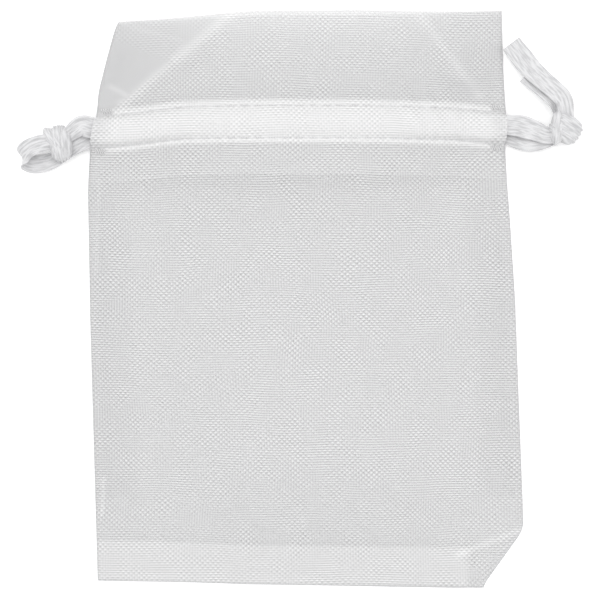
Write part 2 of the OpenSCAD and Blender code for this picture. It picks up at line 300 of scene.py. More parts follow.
def grid_faces(rows, cols, closed_rows=False):
    """Quads of a rows x cols grid, counter-clockwise; closed_rows joins the last column to the first."""
    index = np.arange(rows * cols).reshape(rows, cols)
    if closed_rows:
        index = np.column_stack([index, index[:, :1]])
    a, b = index[:-1, :-1], index[:-1, 1:]
    c, d = index[1:, 1:], index[1:, :-1]
    return np.stack([a, b, c, d], axis=-1).reshape(-1, 4)


def mesh_from(name, points, quads, material, uv=None, marks=None, triangles=None):
    """A mesh object at the origin from points in millimetres, whole arrays at a time."""
    points = np.asarray(points, float).reshape(-1, 3)
    mesh = bpy.data.meshes.new(name)
    loops = quads.ravel()
    starts = np.arange(len(quads)) * 4
    totals = np.full(len(quads), 4)
    if triangles is not None and len(triangles):
        starts = np.concatenate([starts, len(loops) + np.arange(len(triangles)) * 3])
        totals = np.concatenate([totals, np.full(len(triangles), 3)])
        loops = np.concatenate([loops, triangles.ravel()])
    mesh.vertices.add(len(points))
    mesh.vertices.foreach_set("co", (points * MM).ravel())
    mesh.loops.add(len(loops))
    mesh.loops.foreach_set("vertex_index", loops.astype(np.int32))
    mesh.polygons.add(len(starts))
    mesh.polygons.foreach_set("loop_start", starts.astype(np.int32))
    mesh.polygons.foreach_set("loop_total", totals.astype(np.int32))
    mesh.polygons.foreach_set("use_smooth", np.ones(len(starts), bool))
    mesh.update(calc_edges=True)
    if uv is not None:
        layer = mesh.uv_layers.new(name="Cloth")
        layer.data.foreach_set("uv", np.asarray(uv, float).reshape(-1, 2)[loops].ravel())
    for mark, values in (marks or {}).items():
        mesh.attributes.new(mark, "FLOAT", "POINT").data.foreach_set("value", np.ravel(values))
    mesh.materials.append(material)
    piece = bpy.data.objects.new(name, mesh)
    bpy.context.scene.collection.objects.link(piece)
    return piece


def shell(points, thickness):
    """A grid of points as a closed sheet: the given face above, and below it the same grid moved down its
    normal by thickness x ramp. The ramp rises from 0 on all four borders to 1 a few cells in, so both faces
    share the border. Returns points, quads, each point's index in the grid, and a mask of the border."""
    rows, cols = points.shape[:2]
    normal = np.cross(np.gradient(points, axis=1), np.gradient(points, axis=0))
    normal /= np.maximum(np.linalg.norm(normal, axis=-1, keepdims=True), 1e-9)
    normal *= np.where(normal[..., 2:] < 0, -1, 1)
    row, col = np.arange(rows)[:, None], np.arange(cols)[None, :]
    inward = np.minimum(np.minimum(row, rows - 1 - row), np.minimum(col, cols - 1 - col))
    under = points - normal * (thickness * smooth(inward / 4.0))[..., None]
    inner = inward > 0
    top = np.arange(rows * cols).reshape(rows, cols)
    low = top.copy()
    low[inner] = rows * cols + np.arange(inner.sum())
    above = grid_faces(rows, cols)
    quads = np.vstack([above, low.ravel()[above][:, ::-1]])
    across = np.cross(points[0, 1] - points[0, 0], points[1, 0] - points[0, 0])
    if across[2] < 0:
        quads = quads[:, ::-1]
    source = np.concatenate([top.ravel(), top[inner]])
    border = np.concatenate([~inner.ravel(), np.zeros(inner.sum(), bool)])
    return np.vstack([points.reshape(-1, 3), under[inner]]), quads, source, border


def sharpen(mesh, border):
    """Keeps the two faces' shading apart along the sheet's border."""
    ends = np.empty(len(mesh.edges) * 2, np.int32)
    mesh.edges.foreach_get("vertices", ends)
    mesh.edges.foreach_set("use_edge_sharp", border[ends.reshape(-1, 2)].all(axis=1))


# ---------------------------------------------------------------- the necks, and cloth baked in place

NECKS = {LEFT: "left_neck", RIGHT: "right_neck"}


def gather(piece):
    """Bakes the piece's place into its mesh; it is given no share of the neck's move."""
    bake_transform(piece)


# ---------------------------------------------------------------- materials

FULL_TURN = 2 * math.pi


class Wiring:
    """Short forms for adding, setting and joining shader nodes in one tree."""

    def __init__(self, tree):
        self.tree = tree
        self.x = -1600

    def add(self, kind, **settings):
        self.x += 20
        node = self.tree.nodes.new(kind)
        node.location = (self.x, 0)
        for key, value in settings.items():
            setattr(node, key, value)
        return node

    def put(self, socket, value):
        if isinstance(value, bpy.types.NodeSocket):
            self.tree.links.new(value, socket)
        else:
            socket.default_value = value

    def fill(self, node, **values):
        """Sets or joins inputs by name, with spaces in their names written as underscores."""
        for label, value in values.items():
            self.put(node.inputs[label.replace("_", " ")], value)

    def math(self, operation, *values):
        node = self.add("ShaderNodeMath", operation=operation)
        for socket, value in zip(node.inputs, values):
            self.put(socket, value)
        return node.outputs[0]

    def plus(self, a, b):
        return self.math("ADD", a, b)

    def minus(self, a, b):
        return self.math("SUBTRACT", a, b)

    def times(self, a, b):
        return self.math("MULTIPLY", a, b)

    def wave(self, a):
        return self.math("SINE", a)

    def parts(self, vector):
        """The first two parts of a place on the cloth, in millimetres."""
        node = self.add("ShaderNodeSeparateXYZ")
        self.put(node.inputs[0], vector)
        return self.times(node.outputs[0], DM), self.times(node.outputs[1], DM)

    def noise(self, vector, scale, detail, offset=None):
        """Soft noise from 0 to 1; with an offset, another slice of it."""
        node = self.add("ShaderNodeTexNoise", noise_dimensions="3D" if offset is None else "4D")
        self.fill(node, Vector=vector, Scale=scale, Detail=detail)
        if offset is not None:
            self.fill(node, W=offset)
        return node.outputs["Fac"]

    def mix(self, share, low, high):
        """Colour between low and high."""
        node = self.add("ShaderNodeMix", data_type="RGBA")
        for place, value in ((0, share), (6, low), (7, high)):
            self.put(node.inputs[place], value)
        return node.outputs[2]

    def ramp(self, share, *stops):
        """Colour of the ramp given by two stops, each a position and a colour."""
        node = self.add("ShaderNodeValToRGB")
        for element, (position, colour) in zip(node.color_ramp.elements, stops):
            element.position, element.color = position, (*colour, 1)
        self.put(node.inputs[0], share)
        return node.outputs[0]

    def bump(self, height, strength, distance):
        node = self.add("ShaderNodeBump")
        self.fill(node, Height=height, Strength=strength, Distance=distance)
        return node.outputs[0]


def material_named(name, wire, **settings):
    """The material of that name. A new one is set up by wire(wiring, shader, settings)."""
    material = bpy.data.materials.get(name)
    if material is None:
        material = bpy.data.materials.new(name)
        material.use_nodes = True
        tree = material.node_tree
        wire(Wiring(tree), tree.nodes["Principled BSDF"], **settings)
    return material


def weave_group():
    """Plain weave seen through its own second layer. Cloth place (u, v) in decimetres gives rows, brick-like
    knots and columns of thread, each one's strength and phase drifting slowly over the cloth."""
    tree = bpy.data.node_groups.get("organza_weave")
    if tree:
        return tree
    tree = bpy.data.node_groups.new("organza_weave", "ShaderNodeTree")
    number = "NodeSocketFloat"
    tree.interface.new_socket(name="Cloth", in_out="INPUT", socket_type="NodeSocketVector")
    for label, default in (
        ("Row pitch mm", 0.43), ("Knot pitch mm", 0.95), ("Coverage", 0.5), ("Relief", 0.15),
        ("Drift", 0.0), ("Calm", 0.0), ("Pressed", 0.0),
    ):
        tree.interface.new_socket(name=label, in_out="INPUT", socket_type=number).default_value = default
    for label in ("Alpha", "Shade", "Height"):
        tree.interface.new_socket(name=label, in_out="OUTPUT", socket_type=number)
    w = Wiring(tree)
    given = w.add("NodeGroupInput").outputs
    cloth, drift = given["Cloth"], given["Drift"]
    u, v = w.parts(cloth)

    def drifting(scale, detail, further):
        return w.noise(cloth, scale, detail, w.plus(drift, further))

    def thread_angle(place, pitch, phase):
        return w.plus(w.times(w.math("DIVIDE", place, given[pitch]), FULL_TURN), phase)

    def strength(patch):
        return w.times(w.minus(patch, 0.34), 3.6)

    row_angle = thread_angle(v, "Row pitch mm", w.times(w.noise(cloth, 6.0, 1.5, drift), 20.0))
    knot_angle = thread_angle(u, "Knot pitch mm", w.times(drifting(5.0, 1.5, 3.0), 17.0))
    knots = w.times(w.wave(w.times(row_angle, 0.5)), w.wave(knot_angle))
    columns = w.wave(w.times(knot_angle, 2.0))
    strong_knots = strength(drifting(22.0, 2.0, 7.0))
    strong_rows = strength(drifting(17.0, 2.0, 11.0))
    mix = w.times(w.wave(row_angle), w.times(strong_rows, 0.80))
    mix = w.plus(mix, w.times(knots, strong_knots))
    mix = w.plus(mix, w.times(columns, w.times(w.minus(1.0, strong_rows), 0.25)))
    mix = w.times(mix, w.minus(1.0, given["Calm"]))
    alpha = w.plus(given["Coverage"], w.times(mix, given["Relief"]))
    covered = w.add("ShaderNodeClamp")
    w.fill(covered, Min=0.03, Value=w.plus(alpha, w.times(given["Pressed"], 0.30)))
    shade = w.plus(0.5, w.times(mix, 0.5))
    w.fill(w.add("NodeGroupOutput"), Alpha=covered.outputs[0], Shade=shade, Height=mix)
    return tree


def organza(w, shader, coverage, relief, drift, rows, knots, colour):
    """Sheer cloth: the weave sets how much it covers and how bright each thread is. The masks on the mesh paint
    light and shade into it: painted highlights on the pressed places and painted brightness over stacked
    layers, painted shade at the folds with some plain darkening, and they calm the weave. A faint emission
    gives the cloth a painted glow of its own colour."""
    press, fold, calm = (
        w.add("ShaderNodeAttribute", attribute_name=mask).outputs["Fac"] for mask in ("press", "fold", "calm")
    )
    weave = w.add("ShaderNodeGroup", node_tree=weave_group())
    w.fill(
        weave, Cloth=w.add("ShaderNodeUVMap", uv_map="Cloth").outputs[0], Row_pitch_mm=rows,
        Knot_pitch_mm=knots, Coverage=coverage, Relief=relief, Drift=drift, Calm=calm,
        Pressed=w.plus(press, w.times(fold, 0.8)),
    )
    bright = tuple(colour[:3])
    dark = tuple(c * 0.70 for c in bright)
    threads = w.mix(weave.outputs["Shade"], (*dark, 1), (*bright, 1))
    # Painted light: whiter where the first mask is set, as painted highlights on creases and ridges and painted
    # brightness over stacked layers.
    whitened = w.mix(press, threads, (0.95, 0.95, 0.95, 1))
    # Painted shade: greyer where the fold mask is set, along the folded edges, the stitch rows and under the
    # right header crease; elsewhere in that mask the cloth is only made darker.
    shaded = w.mix(fold, whitened, (0.58, 0.58, 0.59, 1))
    # The emission is painted light: a faint glow of the cloth's own shaded colour.
    w.fill(
        shader, Base_Color=shaded, Alpha=weave.outputs["Alpha"],
        Normal=w.bump(weave.outputs["Height"], 0.25, 0.00004), Roughness=0.55, Specular_IOR_Level=0.35,
        Sheen_Weight=0.15, Emission_Color=shaded, Emission_Strength=0.05,
    )


def satin(w, shader):
    """Satin ribbon: fine ribs across it, lengthwise wrinkles in its bump with painted sheen on them, brighter
    streaks along it in the colour, and a soft gloss.
    """
    along, across = w.parts(w.add("ShaderNodeUVMap", uv_map="Cloth").outputs[0])
    stretched = w.add("ShaderNodeCombineXYZ")
    w.fill(stretched, X=w.times(along, 0.35), Y=w.times(across, 2.4))
    wrinkles_and_sheen = w.noise(stretched.outputs[0], 1.3, 3.0)
    grain = w.times(w.wave(w.times(along, FULL_TURN / 0.28)), w.wave(w.times(across, FULL_TURN / 0.24)))
    share = w.plus(wrinkles_and_sheen, w.times(grain, 0.06))
    # painted sheen: the colour is brighter where the wrinkles' bump is higher
    colour = w.ramp(share, (0.38, (0.52, 0.52, 0.53)), (0.60, (0.73, 0.73, 0.74)))
    height = w.plus(w.times(wrinkles_and_sheen, 0.6), w.times(grain, 0.35))
    w.fill(
        shader, Base_Color=colour, Normal=w.bump(height, 0.5, 0.00006),
        Roughness=w.plus(0.30, w.times(wrinkles_and_sheen, 0.2)), Sheen_Weight=0.2, Specular_IOR_Level=0.6,
    )


def thread(w, shader):
    """Sewing thread: a twisted two-ply pattern along each stitch, in its bump, and in its colour as painted
    shade, darker in the grooves between the plies.
    """
    ply = w.add("ShaderNodeTexWave", bands_direction="DIAGONAL")
    w.fill(ply, Scale=1400.0, Distortion=1.5, Vector=w.add("ShaderNodeTexCoord").outputs["Object"])
    twist = ply.outputs["Fac"]
    # painted shade: darker where the twist's bump is low, in the grooves between the plies
    colour = w.ramp(twist, (0, (0.50, 0.50, 0.51)), (1, (0.74, 0.74, 0.74)))
    w.fill(shader, Base_Color=colour, Normal=w.bump(twist, 0.5, 0.00002), Roughness=0.5)


def bare_floor(w, shader):
    """Pale floor that gives off a little light where it is seen directly, so that no shadow shows on it."""
    rays = w.add("ShaderNodeLightPath").outputs
    direct = w.math("MAXIMUM", w.minus(rays["Is Camera Ray"], rays["Transparent Depth"]), 0.0)
    w.fill(
        shader, Base_Color=(0.95, 0.95, 0.95, 1), Roughness=0.9, Specular_IOR_Level=0.1,
        Emission_Color=(1, 1, 1, 1), Emission_Strength=w.times(direct, 0.22),
    )


# ---------------------------------------------------------------- cloth pieces


COLUMNS = 112
FOLD_STEPS = np.array([0, 0.03, 0.09, 0.18, 0.3, 0.45, 0.62, 0.85])


def sewn_columns(edge, side, count):
    """x over a half width, from an edge given row by row: close steps on the rolled edge, then even to 0."""
    n = len(FOLD_STEPS)
    edge = np.broadcast_to(edge[:, :1], (len(edge), count)) if edge.shape[1] == 1 else edge
    x = np.empty((len(edge), count))
    x[:, :n] = edge[:, :n] - side * FOLD_STEPS[None, :]
    share = np.linspace(0, 1, count - n + 1)[None, 1:]
    x[:, n:] = (edge[:, n:] - side * FOLD_STEPS[-1]) * (1 - share)
    return x


def zone_rows(zone, x):
    """y of each row for a column place x, from the zone's lower line to its upper line."""
    step = 0.36
    if zone == "body":
        low = bottom_y(x)
        rest = np.linspace(0, 1, int((BODY_TOP - BACK_LOW[1]) / step))[1:]
        first = low[None, :] + FOLD_STEPS[:, None]
        return np.vstack([first, first[-1:] + (BODY_TOP - first[-1:]) * rest[:, None]])
    if zone == "channel":
        share = np.linspace(0, 1, int((HEADER_FOOT - BODY_TOP) / 0.2))
        return BODY_TOP + (HEADER_FOOT - BODY_TOP) * share[:, None] + 0 * x[None, :]
    share = np.linspace(0, 1, int((BACK_HIGH[1] - HEADER_FOOT) / step))
    return HEADER_FOOT + (mouth_y(x)[None, :] - HEADER_FOOT) * share[:, None]


def half_panel(zone, side):
    """Grid of x and y over half of one zone, with each point's distance from the sewn edges."""
    rough_y = zone_rows(zone, np.zeros(1))
    middle = sewn_columns(side_edge(side, rough_y), side, COLUMNS).mean(axis=0)
    y = zone_rows(zone, middle)
    edge = side_edge(side, y)
    x = sewn_columns(edge, side, COLUMNS)
    from_bottom = np.maximum(y - bottom_y(x), 0) if zone == "body" else FAR_FROM_EDGE
    return x, y, np.minimum(np.abs(x - edge), from_bottom)


def calm_mask(x, y):
    """Where the weave can't be made out: the header's left corner."""
    a, b = np.array([-13.0, 50.6]), np.array([-33.0, 34.6])
    across = (x - a[0]) * (b[1] - a[1]) - (y - a[1]) * (b[0] - a[0])
    left_of = smooth(across / np.hypot(*(b - a)) / 1.2 + 0.2) * (y > 30)
    upper = smooth((46.5 - 0.45 * (x + 34) - y) / 1.5 + 0.5)
    return np.clip(left_of * (0.55 + 0.45 * upper), 0, 1)


# How strongly each mark whitens or darkens the cloth, from 0 to 1. All the whitening is painted light:
# highlights on the ridges and the hem, and brightness over the channel and the ribbon in it, the flap and the
# turned-in layers. Of the darkening, edge and row are painted shade along the folded edges and in the stitch
# rows' pinch, shade is the painted shadow under the right header crease, and header, calm, patch and left only
# make those places darker.
WHITE = {"ridge": 0.34, "channel": 0.50, "ribbon": 0.08, "flap": 0.05, "turned_in": 0.32, "hem": 0.45}
DARK = {"edge": 0.8, "row": 0.42, "shade": 0.35, "header": 0.09, "calm": 0.12, "patch": 0.10, "left": 0.06}


def panel_marks(x, y, distance, front):
    """Masks on the cloth: painted highlights on the pressed creases and painted light over stacked layers, calm
    weave, and painted shade in a dark line along the folded edges and at the stitch rows, with some plain
    darkening.
    """
    # painted highlights along the pressed creases
    white = pressed(x, y)[1] if front else np.zeros_like(x)
    # painted shade: a dark line along the folded edges, where the cloth turns down to the seam
    dark = DARK["edge"] * bump(np.maximum(distance - 0.05, 0), 0.22) * (1 - opening(x, y))
    calm = calm_mask(x, y)
    if front:
        t = y - droop(x)
        from_left = x - side_edge(LEFT, y)
        sides = smooth(np.minimum(from_left, side_edge(RIGHT, y) - x) / 4)
        # painted highlights on the ridges outside each stitch row
        ridge = WHITE["ridge"] * (bump(t - UPPER_ROW - 0.7, 0.50) + bump(t - LOWER_ROW + 0.65, 0.50))
        # painted light: the channel made brighter, more so over the ribbon, as if its stacked layers scattered
        # more light
        channel = WHITE["channel"] + WHITE["ribbon"] * bump(t - CHANNEL_MID, 1.9)
        channel = channel * band(t, LOWER_ROW - 0.9, UPPER_ROW + 0.9, 0.7) * (0.45 + 0.55 * sides)
        # painted light: brighter over the flap and over the turned-in bottom allowance, where layers lie
        # stacked
        flap = WHITE["flap"] * band(t, FLAP_EDGE, STRIP_TOP, 0.3)
        turned_in = WHITE["turned_in"] * (1 - smooth((y - bottom_y(x) - 6.8) / 0.9)) * smooth((30 - x) / 2)
        white = np.clip(white + ridge * sides + channel + flap + turned_in, 0, 1)
        # painted shade in the pinch of each stitch row, and painted shadow under the right header crease
        rows = DARK["row"] * (bump(t - UPPER_ROW, 0.12) + bump(t - LOWER_ROW, 0.12))
        shade = DARK["shade"] * bump(off_line(x, y, (25.0, 39.0), (29.5, 37.4))[0], 1.6)
        # plain darkening: the header, more so its left corner, a patch at the lower left and a band along the
        # left edge
        header = DARK["header"] * smooth((t - STRIP_TOP) / 1.0) + DARK["calm"] * calm
        patch = DARK["patch"] * band(x, -36.8, -28.8, 1.5) * band(y, -43.9, -30.5, 1.5)
        left_band = DARK["left"] * (1 - smooth((from_left - 3.6) / 1.0))
        dark = np.clip(dark + rows + shade + header + patch + left_band, 0, 1)
    return {"press": white, "calm": calm, "fold": dark}


CLOTH_LOOK = {
    "front": dict(coverage=0.38, relief=0.13, drift=0.0, rows=0.43, knots=0.95),
    "back": dict(coverage=0.38, relief=0.13, drift=5.0, rows=0.45, knots=0.90),
    "strip": dict(coverage=0.40, relief=0.12, drift=9.0, rows=0.42, knots=0.98),
}


def cloth(kind):
    return material_named(f"organza_{kind}", organza, colour=setting("cloth_colour"), **CLOTH_LOOK[kind])


def white_satin():
    return material_named("white_satin", satin)


def sheet_piece(name, x, y, z, marks, material, thickness):
    """One sheet of cloth from grids of x, y and z; its x and y are also its place on the flat cloth."""
    points = np.stack([x, y, z], -1)
    solid, quads, source, border = shell(points, thickness)
    flat = (points[..., :2] / DM).reshape(-1, 2)[source]
    marks = {mark: np.ravel(np.broadcast_to(v, points.shape[:2]))[source] for mark, v in marks.items()}
    piece = mesh_from(name, solid, quads, material, flat, marks)
    sharpen(piece.data, border)
    return piece


def panel_pieces(layer):
    """Front or back panel, as left and right halves of its body, channel and header."""
    surface = front_surface if layer == "front" else back_surface
    for zone in ("body", "channel", "header"):
        for side, word in SIDES:
            x, y, distance = half_panel(zone, side)
            z = surface(x, y, distance)
            marks = panel_marks(x, y, distance, layer == "front")
            thickness = setting("cloth_thickness") / MM
            piece = sheet_piece(f"{layer}_{zone}_{word}", x, y, z, marks, cloth(layer), thickness)
            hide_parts(f"{layer}_panel")
            gather(piece)


STRIP_STEPS = np.concatenate([
    np.linspace(FLAP_EDGE, LOWER_ROW - 0.3, 16),
    np.linspace(LOWER_ROW, UPPER_ROW, 26),
    np.linspace(UPPER_ROW + 0.25, STRIP_TOP, 5),
])


STRIP_COLUMNS = 76
STRIP_INSET = 0.8
STRIP_THICK = 0.10


def strip_pieces(layer):
    """Channel strip: flat hems above and below the rows, and between them one side of the ribbon's tunnel."""
    for side, word in SIDES:
        t = STRIP_STEPS[:, None] + np.zeros((1, STRIP_COLUMNS))
        edge = side_edge(side, t) - side * STRIP_INSET
        x = edge * (1 - np.linspace(0, 1, STRIP_COLUMNS)[None, :])
        y = t + droop(x)
        tunnel = band(t, LOWER_ROW, UPPER_ROW, 0.7)
        if layer == "back":
            z = STRIP_Z + TUNNEL_H * tunnel
        else:
            z = front_height(x, y) + slack(x, y) + pleats(x, y) - CLOTH - 2 * LAYER_GAP - TUNNEL_H * tunnel
        y = y + 0.10 * np.sin(x * 5.1) * (t == t[0, 0])  # the cut lower edge is slightly frayed
        # painted light: a bright line along the front strip's lower hem
        hem = WHITE["hem"] * bump(t - FLAP_EDGE, 0.30) if layer == "front" else 0 * x
        marks = {"press": hem, "calm": 0 * x, "fold": 0 * x}
        piece = sheet_piece(f"{layer}_strip_{word}", x, y, z, marks, cloth("strip"), STRIP_THICK)
        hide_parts(f"{layer}_channel_strip")
        gather(piece)


ALLOWANCE_INSET = 0.75
TWO_LAYERS = 0.22


def allowance_piece(side, word, zone, y_from, y_to):
    """A side seam's turned-in edge: two layers pressed together, with a slightly frayed inner edge."""
    y = np.linspace(y_from, y_to, max(int((y_to - y_from) / 0.6), 12))[:, None] + np.zeros((1, 16))
    edge = side_edge(side, y) - side * ALLOWANCE_INSET
    share = np.linspace(0, 1, 16)[None, :]
    fray = 0.16 * np.sin(y * 2.3) + 0.10 * np.sin(y * 5.9 + 1.0)
    x = edge - side * (ALLOWANCE + fray) * share
    z = CLOTH + 0.22 + 0.05 * np.sin(y / 6.0) + 0 * x
    # painted highlight along the allowance's inner edge
    marks = {"press": 0.3 * bump((share - 1) * ALLOWANCE, 0.25) + 0 * x, "calm": 0.4 + 0 * x, "fold": 0 * x}
    name = f"{word}_allowance_{zone}"
    piece = sheet_piece(name, x, y, z, marks, cloth("strip"), TWO_LAYERS)
    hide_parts(f"{word}_seam_allowance")
    gather(piece)


def bottom_allowance():
    """The bottom seam's turned-in edge, cut short at the folded right corner."""
    x = np.linspace(-36.2, 28.6, 120)[None, :] + np.zeros((18, 1))
    share = np.linspace(0, 1, 18)[:, None]
    fray = 0.14 * np.sin(x * 2.1) + 0.09 * np.sin(x * 5.3)
    y = bottom_y(x) + ALLOWANCE_INSET + (ALLOWANCE + fray) * share
    x = x - 0.9 * share * (x > 20) * (x - 20) / 8
    z = CLOTH + 0.24 + 0.05 * np.sin(x / 7.0)
    # painted highlight along the allowance's inner edge
    marks = {"press": 0.35 * bump((share - 1) * ALLOWANCE, 0.25) + 0 * x, "calm": 0.3 + 0 * x, "fold": 0 * x}
    piece = sheet_piece("bottom_allowance", x, y, z, marks, cloth("strip"), TWO_LAYERS)
    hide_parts("bottom_seam_allowance")
    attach(piece, "pouch")


# ---------------------------------------------------------------- stitching


def capsules(centres, directions, length, radius):
    """Many small round-ended bars at once: rings along one bar, set along each direction at each centre."""
    sides, rings = 8, 7
    t = np.linspace(-1, 1, rings)
    swell = np.sqrt(np.clip(1 - t ** 4, 0.02, 1))
    angle = 2 * np.pi * np.arange(sides) / sides
    unit = np.stack([
        np.repeat(t * length / 2, sides),
        (swell[:, None] * np.cos(angle) * radius).ravel(),
        (swell[:, None] * np.sin(angle) * radius * 0.8).ravel(),
    ], -1)
    forward = directions / np.linalg.norm(directions, axis=1, keepdims=True)
    aside = np.cross([0.0, 0.0, 1.0], forward)
    aside /= np.linalg.norm(aside, axis=1, keepdims=True)
    up = np.cross(forward, aside)
    basis = np.stack([forward, aside, up], axis=1)
    points = centres[:, None, :] + np.einsum("kc,ncd->nkd", unit, basis)
    quads = grid_faces(rings, sides, closed_rows=True)
    count = rings * sides
    offsets = (np.arange(len(centres)) * count)[:, None, None]
    quads = (quads[None] + offsets).reshape(-1, 4)
    low = np.array([[0, k + 1, k] for k in range(1, sides - 1)])
    high = np.array([[0, k, k + 1] for k in range(1, sides - 1)]) + count - sides
    caps = (np.vstack([low, high])[None] + offsets).reshape(-1, 3)
    return points.reshape(-1, 3), quads, caps


PITCH = 2.4
STITCH = 1.7
SEAM_INSET = 2.3


def stitch_row(name, node, place, at, reach=0.5, radius=0.11):
    """Stitches centred on place(at) and lying along its curve."""
    return stitch_piece(name, node, place(at), place(at + reach) - place(at - reach), STITCH, radius)


def stitch_piece(name, node, centres, directions, length, radius):
    points, quads, caps = capsules(centres, directions, length, radius)
    piece = mesh_from(name, points, quads, material_named("white_thread", thread), triangles=caps)
    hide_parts(node)
    return piece


def channel_row(layer, row_word, row_y):
    """One row of channel stitching as two halves, lying in the cloth's pinch."""
    for side, word in SIDES:
        last = abs(side_edge(side, np.array([row_y]))[0]) - 2.2
        x = side * np.arange(PITCH / 2, last, PITCH)
        def place(x):
            y = row_y + droop(x)
            if layer == "front":
                z = front_surface(x, y, np.full_like(x, FAR_FROM_EDGE)) + 0.03
            else:
                z = np.full_like(x, STRIP_Z + 0.14)
            return np.stack([x, y, z], -1)
        row = f"{layer}_{row_word}"
        piece = stitch_row(f"{row}_stitches_{word}", f"{row}_channel_stitching", place, x, 0.4, 0.07)
        gather(piece)


def seam_row(side, word, zone, y_from, y_to):
    y = np.arange(y_from, y_to, PITCH)
    def place(y):
        x = side_edge(side, y) - side * SEAM_INSET
        return np.stack([x, y, np.full_like(y, CLOTH + 0.47)], -1)
    piece = stitch_row(f"{word}_seam_stitches_{zone}", f"{word}_seam_stitching", place, y)
    gather(piece)


def bottom_row():
    x = np.arange(-34.8, 27.5, PITCH)
    def place(x):
        return np.stack([x, bottom_y(x) + SEAM_INSET, np.full_like(x, CLOTH + 0.50)], -1)
    piece = stitch_row("bottom_seam_stitches", "bottom_seam_stitching", place, x)
    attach(piece, "pouch")


def bartack_piece(side, word):
    """Dense bars of thread across the seam, just above and below the ribbon's opening."""
    centres, ways = [], []
    for row_y in (UPPER_ROW + 0.7, LOWER_ROW - 0.7):
        edge = side_edge(side, np.array([row_y]))[0]
        x = edge - side * np.linspace(0.9, 2.5, 9)
        y = row_y + droop(x)
        z = front_surface(x, y, np.full_like(x, FAR_FROM_EDGE)) + 0.12
        centres.append(np.stack([x, y, z], -1))
        lean = np.where(np.arange(9) % 2, 0.25, -0.25)
        ways.append(np.stack([lean, np.ones(9), np.zeros(9)], -1))
    piece = stitch_piece(
        f"{word}_bartacks", f"{word}_channel_bartacks", np.vstack(centres), np.vstack(ways), 1.0, 0.09
    )
    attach(piece, NECKS[side])


# ---------------------------------------------------------------- ribbon

# Routes of the loose ribbon: x, y, z, then the direction of its width. In metres, as the frame has them.
LEFT_LOOP_ROUTE = (
    (-0.0282, 0.0307, 0.0028, 0, 1, 0), (-0.032, 0.0303, 0.0023, 0, 1, 0),
    (-0.035, 0.0304, 0.0021, 0, 1, 0), (-0.038, 0.0305, 0.0021, 0, 1, 0),
    (-0.040, 0.0309, 0.0023, 0.1, 1, 0), (-0.0418, 0.0297, 0.0025, 0.3, 1, 0.2),
    (-0.0436, 0.0284, 0.0028, 0.1, 1, 0.3), (-0.0454, 0.0280, 0.0032, -0.1, 1, 0.3),
    (-0.0474, 0.0276, 0.0033, -0.2, 1, 0.1), (-0.0492, 0.0269, 0.0030, -0.3, 1, 0),
    (-0.0504, 0.0260, 0.0022, -0.4, 1, 0.1), (-0.0506, 0.0251, 0.0012, -0.4, 1, 0.2),
    (-0.0496, 0.0244, 0.0006, -0.3, 1, 0.1), (-0.0480, 0.0242, 0.0005, 0, 1, 0),
    (-0.0460, 0.0246, 0.0005, 0.2, 1, 0), (-0.0440, 0.0256, 0.0006, 0.3, 1, 0),
    (-0.0424, 0.0266, 0.0011, 0.2, 1, 0), (-0.0404, 0.0280, 0.0011, 0.1, 1, 0),
    (-0.038, 0.0293, 0.0007, 0, 1, 0), (-0.035, 0.0295, 0.0006, 0, 1, 0),
    (-0.032, 0.0301, 0.0006, 0, 1, 0), (-0.0282, 0.0307, 0.0006, 0, 1, 0),
)
LONG_TAIL_ROUTE = (
    (0.0282, 0.0311, 0.0026, 0, 1, 0), (0.032, 0.0310, 0.0022, 0, 1, 0),
    (0.035, 0.0311, 0.0021, 0, 1, 0), (0.038, 0.0309, 0.0021, 0, 1, 0),
    (0.0404, 0.0302, 0.0021, 0, 1, 0), (0.043, 0.0292, 0.0023, 0.2, 1, 0.1),
    (0.0452, 0.0296, 0.0026, 0.8, 1, 0), (0.0462, 0.0314, 0.0027, 1, 0.1, 0),
    (0.0462, 0.0334, 0.0027, 1, 0, 0.2), (0.0459, 0.0354, 0.0027, 1, 0.4, 0.2),
    (0.0446, 0.0370, 0.0026, 1, 0.9, 0), (0.0424, 0.0389, 0.0024, 1, 0.95, 0),
    (0.0400, 0.0412, 0.0022, 1, 0.8, 0), (0.0382, 0.0435, 0.0020, 1, 0.8, 0),
    (0.0366, 0.0456, 0.0019, 1, 0.75, 0),
)
SHORT_TAIL_ROUTE = (
    (0.0282, 0.0309, 0.0006, 0, 1, 0), (0.032, 0.0304, 0.0006, 0, 1, 0),
    (0.035, 0.0299, 0.0006, 0, 1, 0), (0.038, 0.0288, 0.0011, 0, 1, 0),
    (0.0404, 0.0282, 0.0014, 0, 1, 0), (0.043, 0.0286, 0.0014, -0.2, 1, 0),
    (0.0450, 0.0298, 0.0011, 0.5, 1, 0), (0.0457, 0.0316, 0.0009, 1, 0.2, 0),
    (0.0456, 0.0336, 0.0013, 1, 0.3, 0), (0.0448, 0.0354, 0.0017, 1, 0.7, 0),
    (0.0432, 0.0370, 0.0018, 1, 1, 0), (0.0412, 0.0388, 0.0017, 1, 1.1, 0),
    (0.0395, 0.0403, 0.0016, 1, 1.1, 0),
)


def spline(points, steps):
    """Catmull-Rom curve through the points: each stretch is the cubic with the slopes of its neighbours."""
    p = np.asarray(points, float)
    p = np.vstack([2 * p[0] - p[1], p, 2 * p[-1] - p[-2]])
    a, b, c, d = p[:-3, None], p[1:-2, None], p[2:-1, None], p[3:, None]
    t = np.linspace(0, 1, steps, endpoint=False)[None, :, None]
    curve = 0.5 * (
        2 * b + (c - a) * t + (2 * a - 5 * b + 4 * c - d) * t ** 2 + (3 * b - a - 3 * c + d) * t ** 3
    )
    return np.vstack([curve.reshape(-1, p.shape[1]), p[-2]])


FACE_POINTS = 17  # points across each face of a ribbon


